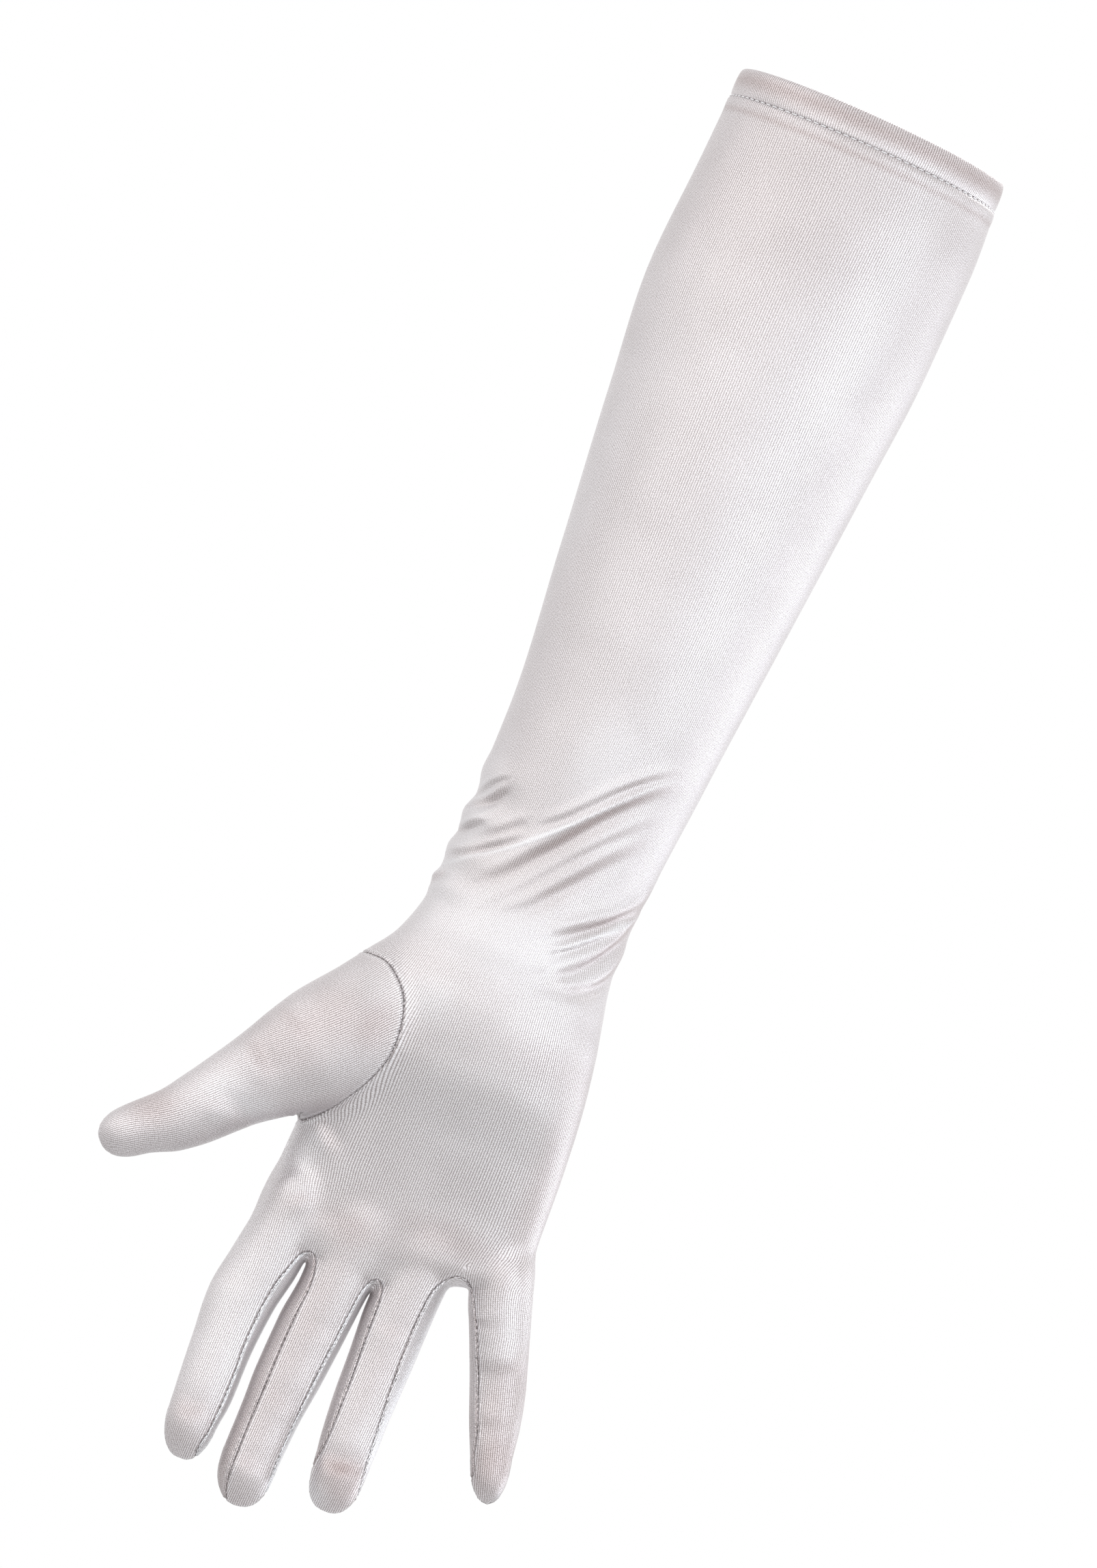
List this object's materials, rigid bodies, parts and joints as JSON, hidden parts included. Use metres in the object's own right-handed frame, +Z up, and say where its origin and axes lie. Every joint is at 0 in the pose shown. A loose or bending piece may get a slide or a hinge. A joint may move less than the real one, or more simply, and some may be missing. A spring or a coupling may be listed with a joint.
{
  "type": "long stretch satin costume glove",
  "caption": "Elbow-length stretch satin glove for a right hand in its worn form: sleeve with a turned hem, set-in thumb and side strips between the fingers.",
  "frame": {"origin": "middle of the arm opening, at the top edge of the hem", "axes": "+Z up the sleeve and out of its opening, palm faces -Y, thumb side -X, back of the hand +Y"},
  "size_m": [0.1508, 0.0683, 0.4436],
  "materials": {
    "satin": "silver grey stretch satin, fine ribs running lengthwise, silky sheen",
    "thread": "pale polyester sewing thread"
  },
  "bodies": {
    "root": {"trank": "satin", "thumb": "satin", "fourchette_index_middle": "satin", "fourchette_middle_ring": "satin", "fourchette_ring_little": "satin", "hem": "satin"}
  },
  "joints": []
}
